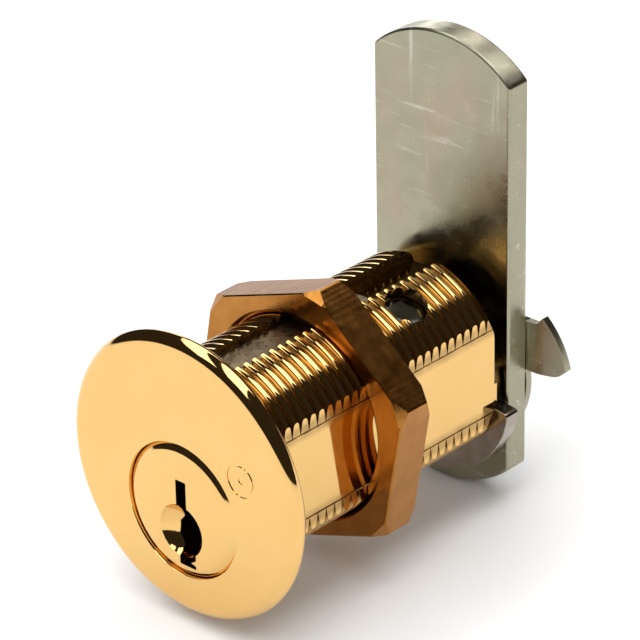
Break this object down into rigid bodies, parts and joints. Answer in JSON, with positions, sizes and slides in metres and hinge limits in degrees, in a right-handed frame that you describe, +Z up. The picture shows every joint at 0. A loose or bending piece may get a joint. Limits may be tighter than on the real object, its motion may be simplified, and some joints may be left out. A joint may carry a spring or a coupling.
{
  "type": "cam lock",
  "caption": "Pin tumbler cam lock: round head, threaded barrel with two flats and a hexagonal nut, and a straight cam that turns a quarter turn with the key.",
  "frame": {"origin": "on the barrel's axis, in the plane of the head's back, which rests on the panel", "axes": "+Y along the barrel, away from the head and into the panel; +Z up, towards the cam's tip at rest; +X to the right seen from the key side"},
  "size_m": [0.0268, 0.0405, 0.0445],
  "materials": {
    "polished_brass": "mirror polished, lacquered",
    "plug_brass": "polished",
    "raw_brass": "unpolished, slightly tarnished",
    "dark_brass": "tarnished strip",
    "pin_brass": "turned",
    "plated_steel": "zinc plated and passivated, scratched",
    "dark_steel": "plated, smooth",
    "screw_steel": "plated",
    "pin_steel": "turned, plated",
    "spring_steel": "drawn wire"
  },
  "bodies": {
    "housing": {"barrel": "polished_brass", "chamber_cover": "dark_brass", "retaining_pin": "pin_steel", "pin_spring_1": "spring_steel", "pin_spring_2": "spring_steel", "pin_spring_3": "spring_steel", "pin_spring_4": "spring_steel", "pin_spring_5": "spring_steel"},
    "rotor": {"plug": "plug_brass", "stop_washer": "dark_steel", "cam": "plated_steel", "tab_washer": "plated_steel", "cam_screw": "screw_steel"},
    "nut": {"mounting_nut": "raw_brass"},
    "driver_1": {"driver_pin_1": "pin_brass"},
    "key_stack_1": {"key_pin_1": "pin_brass"},
    "driver_2": {"driver_pin_2": "pin_brass"},
    "key_stack_2": {"key_pin_2": "pin_brass"},
    "driver_3": {"driver_pin_3": "pin_brass"},
    "key_stack_3": {"key_pin_3": "pin_brass"},
    "driver_4": {"driver_pin_4": "pin_brass"},
    "key_stack_4": {"key_pin_4": "pin_brass"},
    "driver_5": {"driver_pin_5": "pin_brass"},
    "key_stack_5": {"key_pin_5": "pin_brass"}
  },
  "joints": [
    {"name": "plug_turn", "type": "hinge", "parent": "housing", "child": "rotor", "pos_m": [0, 0, -0.00308], "axis": [0, 1, 0], "range_deg": [0, 90]},
    {"name": "nut_travel", "type": "slide", "parent": "housing", "child": "nut", "axis": [0, 1, 0], "range_m": [-0.00953, 0.0127]},
    {"name": "driver_slide_1", "type": "slide", "parent": "housing", "child": "driver_1", "axis": [0, 0, 1], "range_m": [0, 0.0014], "stiffness_N_per_m": 150, "springref_m": -0.001, "deforming": ["pin_spring_1"]},
    {"name": "driver_slide_2", "type": "slide", "parent": "housing", "child": "driver_2", "axis": [0, 0, 1], "range_m": [0, 0.0014], "stiffness_N_per_m": 150, "springref_m": -0.001, "deforming": ["pin_spring_2"]},
    {"name": "driver_slide_3", "type": "slide", "parent": "housing", "child": "driver_3", "axis": [0, 0, 1], "range_m": [0, 0.0014], "stiffness_N_per_m": 150, "springref_m": -0.001, "deforming": ["pin_spring_3"]},
    {"name": "driver_slide_4", "type": "slide", "parent": "housing", "child": "driver_4", "axis": [0, 0, 1], "range_m": [0, 0.0014], "stiffness_N_per_m": 150, "springref_m": -0.001, "deforming": ["pin_spring_4"]},
    {"name": "driver_slide_5", "type": "slide", "parent": "housing", "child": "driver_5", "axis": [0, 0, 1], "range_m": [0, 0.0014], "stiffness_N_per_m": 150, "springref_m": -0.001, "deforming": ["pin_spring_5"]},
    {"name": "key_pin_slide_1", "type": "slide", "parent": "rotor", "child": "key_stack_1", "axis": [0, 0, 1], "range_m": [-0.00125, 0]},
    {"name": "key_pin_slide_2", "type": "slide", "parent": "rotor", "child": "key_stack_2", "axis": [0, 0, 1], "range_m": [-0.00065, 0]},
    {"name": "key_pin_slide_3", "type": "slide", "parent": "rotor", "child": "key_stack_3", "axis": [0, 0, 1], "range_m": [-0.00165, 0]},
    {"name": "key_pin_slide_4", "type": "slide", "parent": "rotor", "child": "key_stack_4", "axis": [0, 0, 1], "range_m": [-0.00045, 0]},
    {"name": "key_pin_slide_5", "type": "slide", "parent": "rotor", "child": "key_stack_5", "axis": [0, 0, 1], "range_m": [-0.00105, 0]}
  ]
}
